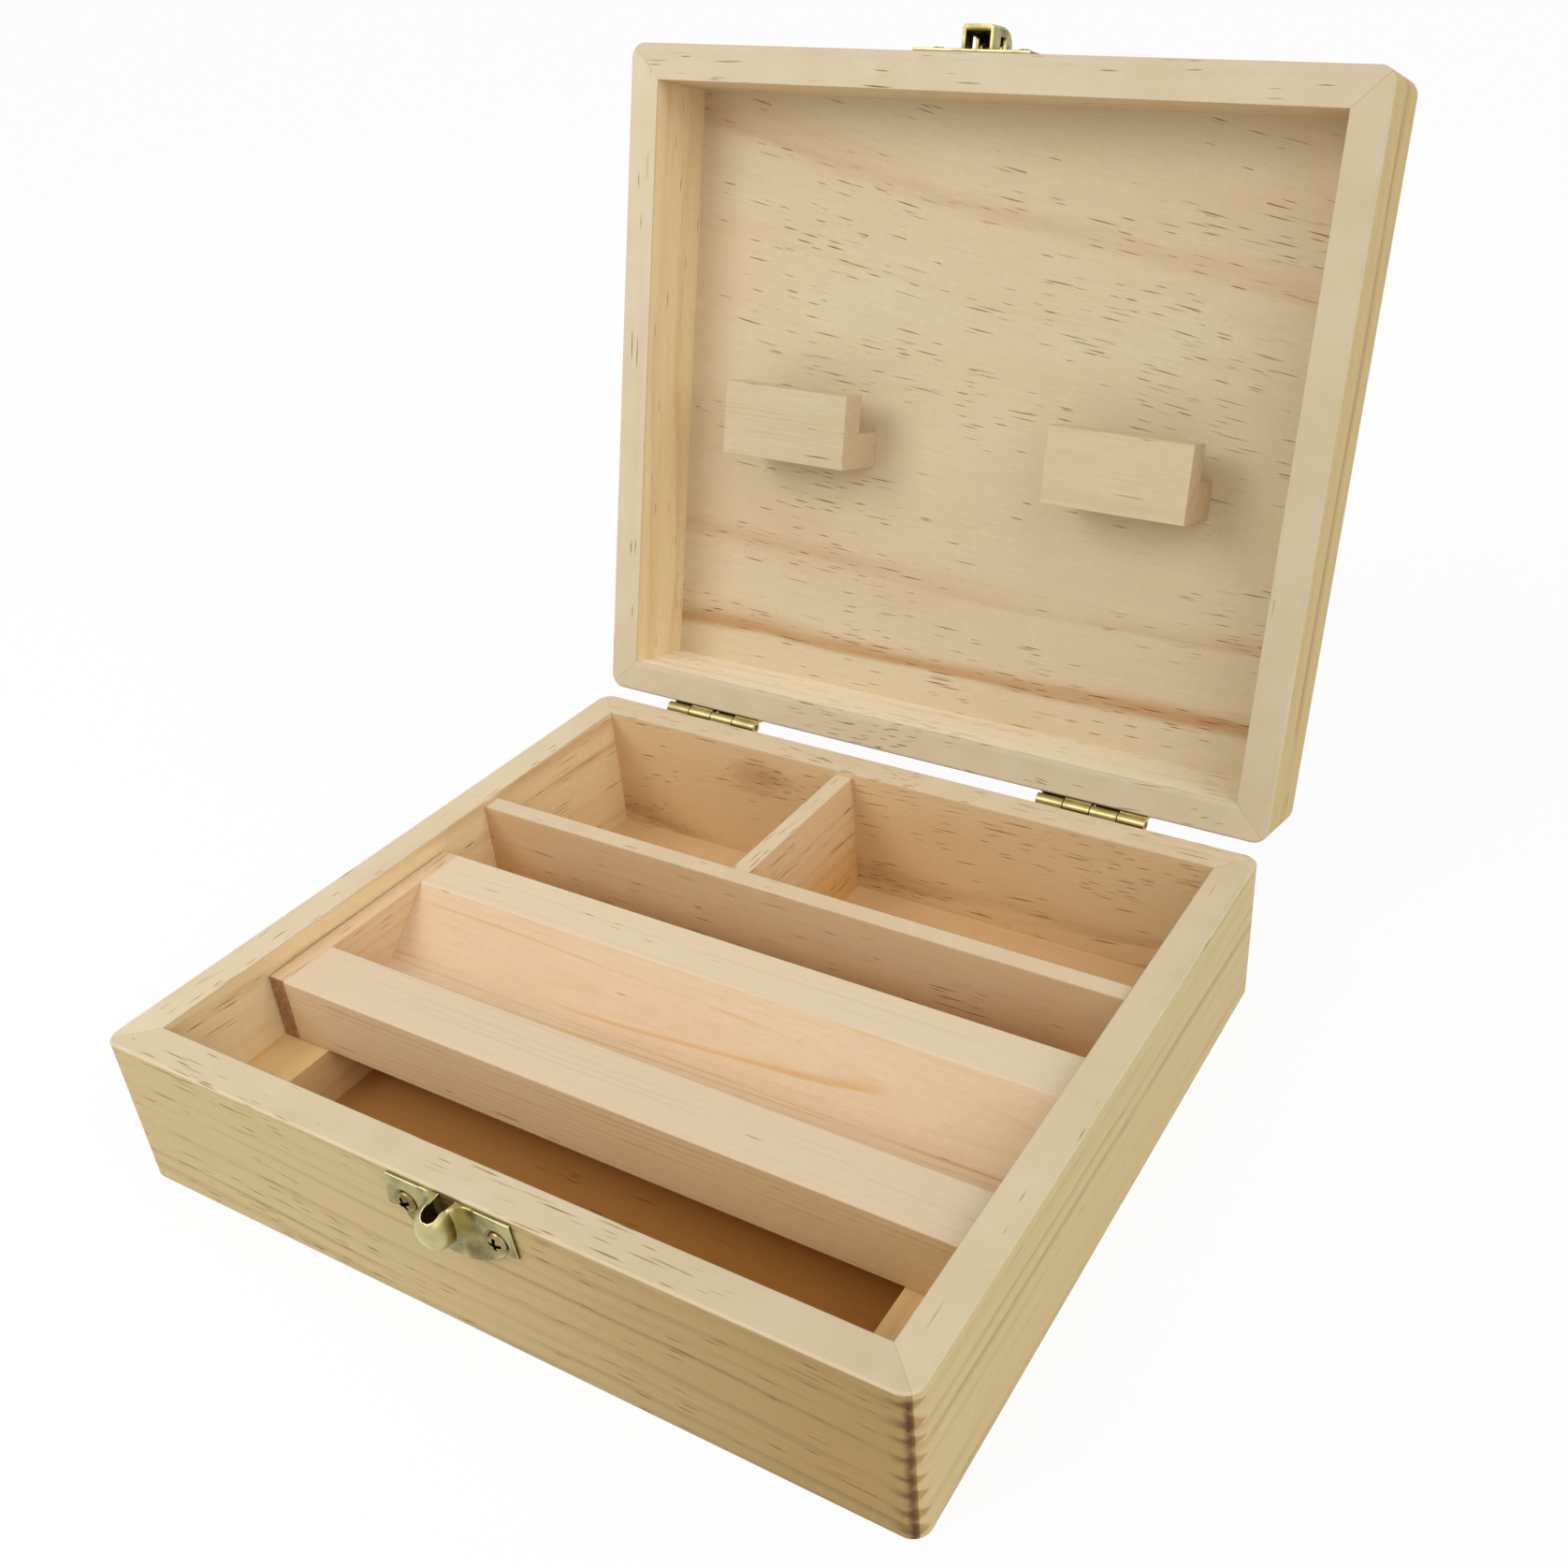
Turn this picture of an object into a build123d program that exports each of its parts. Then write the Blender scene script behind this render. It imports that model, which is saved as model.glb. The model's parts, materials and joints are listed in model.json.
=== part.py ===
from build123d import *
import math
import os

# Sizes are in millimetres. X runs left to right, Y from the clasp side to the hinge side, Z up.
# The origin is the centre of the underside. The lid is modelled shut, then swung open.

# Base and lid carcass
box_width = 204.0
box_depth = 178.0
base_height = 40.0
lid_height = 25.0
wall_thickness = 9.0
corner_radius = 4.0
arris = 0.5
lid_top_radius = 3.5
panel_thickness = 3.0
panel_rabbet = 4.5
lid_seam = 0.2
lid_open_angle = 105.0

# Dividers and the two ledges that carry the tray
divider_thickness = 5.0
divider_height = 35.6
long_divider_end_gap = 0.6
rear_compartment_depth = 50.4
left_compartment_width = 77.5
ledge_width = 14.5
ledge_height = 14.2

# Lift-out tray
tray_depth = 59.2
tray_height = 17.4
tray_side_gap = 0.6
tray_seat_gap = 0.1
tray_back_gap = 17.3
tray_rail_depth = 15.5
tray_end_thickness = 4.6
tray_floor_thickness = 3.0
wedge_top_depth = 13.3
tray_arris = 0.4

# Clips glued inside the lid
clip_length = 38.8
clip_plate_height = 19.6
clip_plate_thickness = 8.0
clip_foot_height = 9.4
clip_slot_depth = 10.2
clip_back_inset = 64.9
clip_left_inset = 24.6
clip_right_inset = 25.0

# Stop hinges
hinge_length = 30.4
hinge_knuckles = 4
knuckle_gap = 0.25
hinge_left_inset = 22.6
hinge_right_inset = 31.2
hinge_leaf_height = 11.0
hinge_leaf_thickness = 0.9
barrel_radius = 1.65
barrel_wall_gap = 0.35
hinge_axis_drop = 0.3
hinge_pin_radius = 0.75
hinge_pin_end_recess = 0.2
pin_clearance = 0.05
stop_tail_reach = 3.3
stop_tail_gap = 0.1
hinge_screw_inset = 6.2
hinge_screw_drop = 6.6

# Round-head screws
screw_head_height = 1.2
screw_head_sides = 24
screw_head_taper = 38.0
screw_shank_radius = 0.9
screw_shank_length = 6.5
screw_shank_sides = 8
screw_hole_clearance = 0.1
pilot_clearance = 0.05
hinge_screw_head_radius = 1.9
clasp_screw_head_radius = 2.5

# Clasp: catch plate on the base, hasp plate and hood on the lid
clasp_offset = -1.0
clasp_sheet = 0.8
clasp_edge_gap = 0.9
clasp_plate_width = 31.8
clasp_plate_flare = 1.0
clasp_end_height = 8.6
clasp_end_foot = 3.4
clasp_lobe_height = 15.0
clasp_screw_spread = 23.4
clasp_screw_drop = 6.4

# Hollow nose pressed out of the catch plate: a round-ended stud with a slot in its top
nose_radius = 5.2
nose_reach = 7.9
nose_centre_drop = 4.5
nose_root = 1.8
nose_mouth_width = 4.0
nose_mouth_reach = 6.5

# Hood and its pin
hood_width = 8.4
hood_sheet = 0.9
hood_mouth_rise = 4.3
hood_mouth_height = 6.85
hood_roof_height = 7.15
hood_back_radius = 4.35
hood_length = 11.6
hood_face_gap = 0.15
hood_edge_bevel = 0.6
hood_lip_radius = 0.9
hood_notch_start = 4.3
hood_notch_width = 3.2
hood_notch_height = 4.7
hood_pin_height = 2.55
hood_pin_back = 2.6
hood_pin_radius = 0.6
hood_ear_radius = 1.3
hood_ear_gap = 0.15
hood_swing = 35.0

# Planes and levels that several pieces share
half_width = box_width / 2
half_depth = box_depth / 2
inner_width = box_width - 2 * wall_thickness
inner_depth = box_depth - 2 * wall_thickness
panel_width = box_width - 2 * panel_rabbet
panel_depth = box_depth - 2 * panel_rabbet
floor_level = panel_thickness
lid_rim_level = base_height + lid_seam
lid_top_level = lid_rim_level + lid_height
lid_panel_level = lid_top_level - panel_thickness
inner_left = -inner_width / 2
inner_right = inner_width / 2
inner_front = -inner_depth / 2
inner_back = inner_depth / 2
long_divider_back = inner_back - rear_compartment_depth
long_divider_front = long_divider_back - divider_thickness
ledge_top = floor_level + ledge_height
tray_level = ledge_top + tray_seat_gap
tray_back = long_divider_front - tray_back_gap
tray_front = tray_back - tray_depth
tray_left = inner_left + tray_side_gap
tray_right = inner_right - tray_side_gap
hinge_setback = barrel_radius + barrel_wall_gap
hinge_y = half_depth + hinge_setback
hinge_z = base_height - hinge_axis_drop
hinge_axis = Axis((0, hinge_y, hinge_z), (1, 0, 0))


def block(low, high):
    """A box between two opposite corners."""
    size = [high[i] - low[i] for i in range(3)]
    middle = [(high[i] + low[i]) / 2 for i in range(3)]
    return Pos(*middle) * Box(*size)


def rod(start, end, radius):
    """A round bar between two points."""
    start, end = Vector(*start), Vector(*end)
    length = (end - start).length
    return Plane(start, z_dir=end - start) * Pos(0, 0, length / 2) * Cylinder(radius, length)


def prism_along_x(points, start, end):
    """A straight stick whose end, given as Y and Z points, runs from one X to another."""
    profile = Plane.YZ.offset(start) * make_face(Polyline(*points, close=True))
    return extrude(profile, amount=end - start, dir=(1, 0, 0))


def swing_open(shape):
    """Turns a piece of the shut lid about the hinge pins to the open lid's place."""
    return shape.rotate(hinge_axis, -lid_open_angle)


def carcass(level, height, rabbet_level, rounded_top):
    """The four walls as one ring with eased arrises and a rabbet for the panel."""
    plan = RectangleRounded(box_width, box_depth, corner_radius)
    ring = extrude(plan, amount=height)
    ring = chamfer(ring.faces().sort_by(Axis.Z)[0].edges(), arris)
    crown = ring.faces().sort_by(Axis.Z)[-1].edges()
    ring = fillet(crown, lid_top_radius) if rounded_top else chamfer(crown, arris)
    ring = Pos(0, 0, level) * ring
    ring -= block((inner_left, inner_front, level), (inner_right, inner_back, level + height))
    return ring - panel(rabbet_level)


def panel(level):
    """The thin board let into the walls' rabbet."""
    low = (-panel_width / 2, -panel_depth / 2, level)
    high = (panel_width / 2, panel_depth / 2, level + panel_thickness)
    return block(low, high)


def mitred_walls(ring, level, height):
    """Cuts the ring at its mitres into front, right, back and left walls."""
    outer = [(-half_width, -half_depth), (half_width, -half_depth)]
    outer += [(half_width, half_depth), (-half_width, half_depth)]
    inner = [(inner_left, inner_front), (inner_right, inner_front)]
    inner += [(inner_right, inner_back), (inner_left, inner_back)]
    walls = {}
    for i, side in enumerate(("front", "right", "back", "left")):
        following = (i + 1) % 4
        outline = Polyline(outer[i], outer[following], inner[following], inner[i], close=True)
        sector = Pos(0, 0, level) * extrude(make_face(outline), amount=height)
        walls[side] = ring & sector
    return walls


def shank(radius, length, above):
    """A screw's shank, or the cutter for its hole, plainly eight-sided; it hangs from the XY plane."""
    form = extrude(RegularPolygon(radius, screw_shank_sides), amount=length + above)
    return Pos(0, 0, -length) * form


def screw(head_radius):
    """A screw standing head up, with the head's underside on the XY plane."""
    seat = RegularPolygon(head_radius, screw_head_sides)
    head = extrude(seat, amount=screw_head_height, taper=screw_head_taper)
    return head + shank(screw_shank_radius, screw_shank_length, 0)


def screw_set(places, outward, head_radius):
    """The same screw driven at each place, as separate solids."""
    solids = [Plane(place, z_dir=outward) * screw(head_radius) for place in places]
    return Compound(children=solids)


def drill(solid, places, outward, clearance):
    """Cuts the screws' clearance or pilot holes, the seats being the heads' undersides."""
    for place in places:
        cutter = shank(screw_shank_radius + clearance, screw_shank_length + clearance, clasp_sheet)
        solid -= Plane(place, z_dir=outward) * cutter
    return solid


# Hinges: two leaves on each, their knuckles taking turns on one pin
knuckle_pitch = (hinge_length + knuckle_gap) / hinge_knuckles
knuckle_length = knuckle_pitch - knuckle_gap
hinge_starts = {
    "left": -half_width + hinge_left_inset,
    "right": half_width - hinge_right_inset - hinge_length,
}
leaf_face_offset = hinge_setback - hinge_leaf_thickness
notch_level = stop_tail_gap + math.hypot(hinge_setback, stop_tail_gap) + knuckle_gap

# The tail of a knuckle is set so that its corner meets the other leaf at full opening
tail_corner = math.hypot(stop_tail_reach, hinge_leaf_thickness / 2)
tail_half_angle = math.atan2(hinge_leaf_thickness / 2, stop_tail_reach)
tail_open_angle = tail_half_angle - math.acos((stop_tail_gap - leaf_face_offset) / tail_corner)
tail_angle = math.degrees(tail_open_angle) + lid_open_angle


def hinge_leaf(start, side):
    """One leaf, lying on a back wall; side is +1 for the lid's leaf and -1 for the base's."""
    level = hinge_z
    outer_face = half_depth + hinge_leaf_thickness
    root, edge = level + side * notch_level, level + side * hinge_leaf_height
    leaf = block(
        (start, half_depth, min(root, edge)),
        (start + hinge_length, outer_face, max(root, edge)),
    )
    first = 1 if side > 0 else 0
    for i in range(first, hinge_knuckles, 2):
        left = start + i * knuckle_pitch
        right = left + knuckle_length
        leaf += block((left, half_depth, min(level, root)), (right, outer_face, max(level, root)))
        leaf += rod((left, hinge_y, level), (right, hinge_y, level), barrel_radius)
        tail = block(
            (left, hinge_y + hinge_pin_radius + pin_clearance, level - hinge_leaf_thickness / 2),
            (right, hinge_y + stop_tail_reach, level + hinge_leaf_thickness / 2),
        )
        leaf += tail.rotate(hinge_axis, side * tail_angle)
    bore_radius = hinge_pin_radius + pin_clearance
    return leaf - rod((start, hinge_y, level), (start + hinge_length, hinge_y, level), bore_radius)


def hinge_screw_places(start, side, face):
    """Centres of a leaf's two screws, on the plane at the given Y."""
    level = hinge_z + side * hinge_screw_drop
    ends = (start + hinge_screw_inset, start + hinge_length - hinge_screw_inset)
    return [(x, face, level) for x in ends]


# Clasp fittings: both plates are cut from one bracket-shaped outline
catch_edge_level = base_height - clasp_edge_gap
hasp_edge_level = lid_rim_level + clasp_edge_gap
clasp_face = -half_depth - clasp_sheet


def clasp_plate(edge_level, side):
    """The bracket-shaped plate; side is +1 where its lobe points up and -1 where it points down."""
    edge = clasp_plate_width / 2
    foot = edge + clasp_plate_flare
    lobe_start = foot - clasp_end_foot
    end_level = edge_level + side * clasp_end_height
    left_edge = (clasp_offset - edge, edge_level)
    right_edge = (clasp_offset + edge, edge_level)
    left_foot = (clasp_offset - foot, end_level)
    right_foot = (clasp_offset + foot, end_level)
    left_lobe = (clasp_offset - lobe_start, end_level)
    right_lobe = (clasp_offset + lobe_start, end_level)
    tip = (clasp_offset, edge_level + side * clasp_lobe_height)
    outline = Polyline(left_lobe, left_foot, left_edge, right_edge, right_foot, right_lobe)
    outline += ThreePointArc(right_lobe, tip, left_lobe)
    face = Plane.XZ.offset(half_depth) * make_face(outline)
    return extrude(face, amount=clasp_sheet, dir=(0, -1, 0))


def clasp_screw_places(edge_level, side, face):
    """Centres of a plate's two screws, on the plane at the given Y."""
    level = edge_level + side * clasp_screw_drop
    shifts = (-clasp_screw_spread / 2, clasp_screw_spread / 2)
    return [(clasp_offset + shift, face, level) for shift in shifts]


def nose_form(inset, root):
    """The nose turned about its outward axis; inset makes its hollow and root its sloped foot."""
    radius = nose_radius - inset
    dome_start = nose_reach - nose_radius
    foot = [(radius + root, 0), (radius, root)] if root else [(radius, 0)]
    outline = Polyline((0, 0), *foot, (radius, dome_start))
    outline += CenterArc((0, dome_start), radius, 0, 90)
    outline += Line((0, dome_start + radius), (0, 0))
    turned = revolve(make_face(outline), Axis.Y)
    centre_level = catch_edge_level - nose_centre_drop
    return Pos(clasp_offset, -half_depth, centre_level) * Rot(180, 0, 0) * turned


def nose_mouth():
    """The slot cutter: straight sides off the wall's face and a round end, open upwards."""
    half_mouth = nose_mouth_width / 2
    low = catch_edge_level - nose_centre_drop
    end_y = -half_depth - nose_mouth_reach + half_mouth
    slot = block(
        (clasp_offset - half_mouth, end_y, low),
        (clasp_offset + half_mouth, -half_depth, base_height),
    )
    return slot + rod((clasp_offset, end_y, low), (clasp_offset, end_y, base_height), half_mouth)


def catch():
    """The catch plate with its hollow nose, open on top and towards the wall."""
    below_edge = block(
        (-half_width, -box_depth, 0),
        (half_width, -half_depth, catch_edge_level),
    )
    fitting = clasp_plate(catch_edge_level, -1) + (nose_form(0, nose_root) & below_edge)
    fitting -= nose_form(clasp_sheet, 0)
    fitting -= nose_mouth()
    return drill(fitting, catch_screws, (0, -1, 0), screw_hole_clearance)


# The hood lies along the lid's front; its distances run up from the rim and out from the face
hood_mouth_level = lid_rim_level + hood_mouth_rise
hood_back_level = hood_mouth_level + hood_length
hood_centre_level = hood_back_level - hood_back_radius
hood_centre_height = hood_roof_height - hood_back_radius
hood_pin_level = hood_back_level - hood_pin_back
hood_bottom = clasp_sheet + hood_face_gap
hood_heel_radius = hood_pin_height - hood_bottom
hood_back_edge = hood_pin_height


def off_face(height):
    """The Y of something standing this far off the lid's front face."""
    return -half_depth - height


def hood_profile(inset):
    """Side outline of the hood on the YZ plane; inset gives the hollow under its sheet."""
    diagonal = math.sqrt(0.5)
    radius = hood_back_radius - inset
    mouth_top = (off_face(hood_mouth_height - inset), hood_mouth_level)
    roof_end = (off_face(hood_roof_height - inset), hood_centre_level)
    shoulder_height = hood_centre_height + radius * diagonal
    shoulder = (off_face(shoulder_height), hood_centre_level + radius * diagonal)
    back_end = (off_face(hood_centre_height), hood_centre_level + radius)
    outline = Polyline((off_face(hood_bottom), hood_mouth_level), mouth_top, roof_end)
    outline += ThreePointArc(roof_end, shoulder, back_end)
    if inset:
        outline += Polyline(back_end, (off_face(0), back_end[1]), (off_face(0), hood_mouth_level))
        outline += Line((off_face(0), hood_mouth_level), (off_face(hood_bottom), hood_mouth_level))
        return make_face(outline)
    heel_start = (off_face(hood_back_edge), hood_pin_level + hood_heel_radius)
    heel_height = hood_pin_height - hood_heel_radius * diagonal
    heel = (off_face(heel_height), hood_pin_level + hood_heel_radius * diagonal)
    heel_end = (off_face(hood_bottom), hood_pin_level)
    outline += Line(back_end, heel_start)
    outline += ThreePointArc(heel_start, heel, heel_end)
    outline += Line(heel_end, (off_face(hood_bottom), hood_mouth_level))
    return make_face(outline)


def across(profile, width):
    """Extrudes a YZ outline across X, centred on the clasp."""
    start = clasp_offset - width / 2
    return extrude(Plane.YZ.offset(start) * profile, amount=width, dir=(1, 0, 0))


def hood():
    """The hollow hood: roof, two notched cheeks and a rolled lip over its mouth."""
    shell = across(hood_profile(0), hood_width)
    flanks = shell.faces().filter_by(Axis.X)
    crown = [
        edge for flank in flanks for edge in flank.edges()
        if edge.center().Y < off_face(hood_centre_height)
        and edge.center().Z > hood_mouth_level + hood_face_gap
    ]
    shell = chamfer(crown, hood_edge_bevel)
    shell -= across(hood_profile(hood_sheet), hood_width - 2 * hood_sheet)
    lip_height = hood_mouth_height - hood_lip_radius
    lip_level = hood_mouth_level + hood_lip_radius
    lip_reach = hood_width / 2 - hood_edge_bevel / 2
    lip = rod(
        (clasp_offset - lip_reach, off_face(lip_height), lip_level),
        (clasp_offset + lip_reach, off_face(lip_height), lip_level),
        hood_lip_radius,
    )
    shell += chamfer(lip.edges().filter_by(GeomType.CIRCLE), hood_edge_bevel / 2)
    notch_level_low = hood_mouth_level + hood_notch_start
    shell -= block(
        (clasp_offset - hood_width, off_face(hood_notch_height), notch_level_low),
        (clasp_offset + hood_width, off_face(0), notch_level_low + hood_notch_width),
    )
    return shell - hood_pin_rod(hood_width, hood_pin_radius + pin_clearance)


def hood_pin_rod(length, radius):
    """A bar on the hood's turning axis."""
    y = off_face(hood_pin_height)
    start = (clasp_offset - length / 2, y, hood_pin_level)
    end = (clasp_offset + length / 2, y, hood_pin_level)
    return rod(start, end, radius)


def hasp_base():
    """The lid's clasp plate with the two ears that hold the hood's pin."""
    fitting = clasp_plate(hasp_edge_level, 1)
    ear_outer = hood_width / 2 - hood_sheet - hood_ear_gap
    for side in (-1, 1):
        left = clasp_offset + min(side * ear_outer, side * (ear_outer - clasp_sheet))
        right = left + clasp_sheet
        fitting += block(
            (left, off_face(hood_pin_height), hood_pin_level - hood_ear_radius),
            (right, off_face(0), hood_pin_level + hood_ear_radius),
        )
        y = off_face(hood_pin_height)
        fitting += rod((left, y, hood_pin_level), (right, y, hood_pin_level), hood_ear_radius)
    fitting -= hood_pin_rod(hood_width, hood_pin_radius + pin_clearance)
    return drill(fitting, hasp_screws, (0, -1, 0), screw_hole_clearance)


def clip(left, back):
    """A stick with an L-shaped end, its foot glued to the lid's panel."""
    foot_front = back - clip_foot_height
    plate_front = back - clip_plate_height
    slot_level = lid_panel_level - clip_slot_depth
    face_level = slot_level - clip_plate_thickness
    points = [
        (back, lid_panel_level),
        (foot_front, lid_panel_level),
        (foot_front, slot_level),
        (plate_front, slot_level),
        (plate_front, face_level),
        (back, face_level),
    ]
    return prism_along_x(points, left, left + clip_length)


def ease_long_edges(stick):
    """Takes the sharpness off a stick's edges along X."""
    return fillet(stick.edges().filter_by(Axis.X), tray_arris)


def tray():
    """The tray's four boards, its right end left open."""
    top = tray_level + tray_height
    board_left = tray_left + tray_end_thickness
    rail_back = tray_front + tray_rail_depth
    floor_top = tray_level + tray_floor_thickness
    wedge_shoulder = tray_back - wedge_top_depth
    wedge_toe = wedge_shoulder - (top - floor_top)
    rail = block((board_left, tray_front, tray_level), (tray_right, rail_back, top))
    wedge_points = [
        (tray_back, tray_level),
        (tray_back, top),
        (wedge_shoulder, top),
        (wedge_toe, floor_top),
        (wedge_toe, tray_level),
    ]
    wedge = prism_along_x(wedge_points, board_left, tray_right)
    return {
        "tray_front_rail": ease_long_edges(rail),
        "tray_wedge": wedge,
        "tray_end_board": block((tray_left, tray_front, tray_level), (board_left, tray_back, top)),
        "tray_floor": block((board_left, rail_back, tray_level), (tray_right, wedge_toe, floor_top)),
    }


base_hinge_screws = []
lid_hinge_screws = []
for hinge_start in hinge_starts.values():
    leaf_face = half_depth + hinge_leaf_thickness
    base_hinge_screws += hinge_screw_places(hinge_start, -1, leaf_face)
    lid_hinge_screws += hinge_screw_places(hinge_start, 1, leaf_face)
catch_screws = clasp_screw_places(catch_edge_level, -1, clasp_face)
hasp_screws = clasp_screw_places(hasp_edge_level, 1, clasp_face)

# Base
base_ring = carcass(0, base_height, 0, False)
base_walls = mitred_walls(base_ring, 0, base_height)
base_walls["front"] = drill(base_walls["front"], catch_screws, (0, -1, 0), pilot_clearance)
base_walls["back"] = drill(base_walls["back"], base_hinge_screws, (0, 1, 0), pilot_clearance)
divider_top = floor_level + divider_height
short_divider_left = inner_left + left_compartment_width
pieces = {f"{side}_wall": wall for side, wall in base_walls.items()}
pieces["bottom_panel"] = panel(0)
pieces["long_divider"] = block(
    (inner_left, long_divider_front, floor_level),
    (inner_right - long_divider_end_gap, long_divider_back, divider_top),
)
pieces["short_divider"] = block(
    (short_divider_left, long_divider_back, floor_level),
    (short_divider_left + divider_thickness, inner_back, divider_top),
)
pieces["left_ledge"] = block(
    (inner_left, inner_front, floor_level),
    (inner_left + ledge_width, long_divider_front, ledge_top),
)
pieces["right_ledge"] = block(
    (inner_right - ledge_width, inner_front, floor_level),
    (inner_right, long_divider_front, ledge_top),
)
pieces["catch_plate"] = catch()
pieces["catch_screws"] = screw_set(catch_screws, (0, -1, 0), clasp_screw_head_radius)
pieces["hinge_base_screws"] = screw_set(base_hinge_screws, (0, 1, 0), hinge_screw_head_radius)
pieces.update(tray())

# Lid, modelled shut
lid_ring = carcass(lid_rim_level, lid_height, lid_panel_level, True)
lid_walls = mitred_walls(lid_ring, lid_rim_level, lid_height)
lid_walls["front"] = drill(lid_walls["front"], hasp_screws, (0, -1, 0), pilot_clearance)
lid_walls["back"] = drill(lid_walls["back"], lid_hinge_screws, (0, 1, 0), pilot_clearance)
lid_pieces = {f"lid_{side}_wall": wall for side, wall in lid_walls.items()}
lid_pieces["lid_panel"] = panel(lid_panel_level)
clip_back = inner_back - clip_back_inset
lid_pieces["left_clip"] = clip(inner_left + clip_left_inset, clip_back)
lid_pieces["right_clip"] = clip(inner_right - clip_right_inset - clip_length, clip_back)
lid_pieces["hasp_plate"] = hasp_base()
lid_pieces["hasp_screws"] = screw_set(hasp_screws, (0, -1, 0), clasp_screw_head_radius)
lid_pieces["hasp_pin"] = hood_pin_rod(hood_width, hood_pin_radius)
lid_pieces["hasp_hood"] = hood()
lid_pieces["hinge_lid_screws"] = screw_set(lid_hinge_screws, (0, 1, 0), hinge_screw_head_radius)

for hinge_side, hinge_start in hinge_starts.items():
    base_leaf = hinge_leaf(hinge_start, -1)
    lid_leaf = hinge_leaf(hinge_start, 1)
    near = [place for place in base_hinge_screws if 0 < place[0] - hinge_start < hinge_length]
    far = [place for place in lid_hinge_screws if 0 < place[0] - hinge_start < hinge_length]
    pieces[f"{hinge_side}_hinge_base_leaf"] = drill(base_leaf, near, (0, 1, 0), screw_hole_clearance)
    lid_pieces[f"{hinge_side}_hinge_lid_leaf"] = drill(lid_leaf, far, (0, 1, 0), screw_hole_clearance)
    pin_start = (hinge_start + hinge_pin_end_recess, hinge_y, hinge_z)
    pin_end = (hinge_start + hinge_length - hinge_pin_end_recess, hinge_y, hinge_z)
    pieces[f"{hinge_side}_hinge_pin"] = rod(pin_start, pin_end, hinge_pin_radius)

for name, piece in lid_pieces.items():
    pieces[name] = swing_open(piece)

os.makedirs("parts", exist_ok=True)
for name, piece in pieces.items():
    export_step(piece, f"parts/{name}.step")

hasp_axis = pieces["hasp_pin"].center()
print(f"shut height {lid_top_level:.2f}")
print(f"hinge axis y {hinge_y:.3f} z {hinge_z:.3f}, hasp pin y {hasp_axis.Y:.3f} z {hasp_axis.Z:.3f}")
print(f"hood swing {hood_swing:.0f} degrees, tray travel {tray_front - inner_front:.2f} forwards")
print(f"and {long_divider_front - tray_back:.2f} backwards")
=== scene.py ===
import json
import math

import bpy
from mathutils import Matrix, Vector


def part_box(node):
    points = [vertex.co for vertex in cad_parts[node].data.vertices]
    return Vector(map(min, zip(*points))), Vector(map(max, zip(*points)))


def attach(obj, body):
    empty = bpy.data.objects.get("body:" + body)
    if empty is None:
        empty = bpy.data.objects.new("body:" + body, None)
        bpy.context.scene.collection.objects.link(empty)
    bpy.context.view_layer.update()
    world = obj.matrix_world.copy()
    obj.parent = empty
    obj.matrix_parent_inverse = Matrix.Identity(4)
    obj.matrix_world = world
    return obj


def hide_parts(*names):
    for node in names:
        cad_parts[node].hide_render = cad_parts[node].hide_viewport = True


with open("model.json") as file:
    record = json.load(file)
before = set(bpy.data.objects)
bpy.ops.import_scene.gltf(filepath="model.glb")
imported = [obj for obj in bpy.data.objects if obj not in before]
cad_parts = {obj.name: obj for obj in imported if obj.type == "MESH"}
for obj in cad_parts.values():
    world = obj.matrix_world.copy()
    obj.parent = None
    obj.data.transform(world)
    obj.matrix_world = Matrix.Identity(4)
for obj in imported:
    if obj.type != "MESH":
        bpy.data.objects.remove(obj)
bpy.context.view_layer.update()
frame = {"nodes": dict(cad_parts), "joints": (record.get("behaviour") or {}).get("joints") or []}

# Table and light. The box stands on a plain white sheet in soft studio light: an even white room,
# a broad lamp from the front left, and a softer and wider one from the right. The camera looks
# down on the front right corner.

floor_size = 8.0
floor_drop = 0.0001
floor_white = (0.95, 0.95, 0.95, 1.0)
floor_glow = 0.92
room_strength = 0.5
key_from = Vector((-0.45, -0.62, 0.64))
key_distance = 0.95
key_width = 0.5
key_power = 3.6
fill_from = Vector((0.74, -0.2, 0.64))
fill_strength = 1.3
fill_softness = math.radians(70)
lit_middle = Vector((0.0, 0.0, 0.08))
camera_place = (0.191230, -0.235588, 0.263096)
camera_turn = (math.radians(58.4079), math.radians(2.1427), math.radians(28.9799))
camera_lens = 36.642
camera_sensor = 36.0
camera_shift = (-0.07838, 0.00578)
camera_near = 0.01
plain_white = (1.0, 1.0, 1.0, 1.0)


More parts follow.
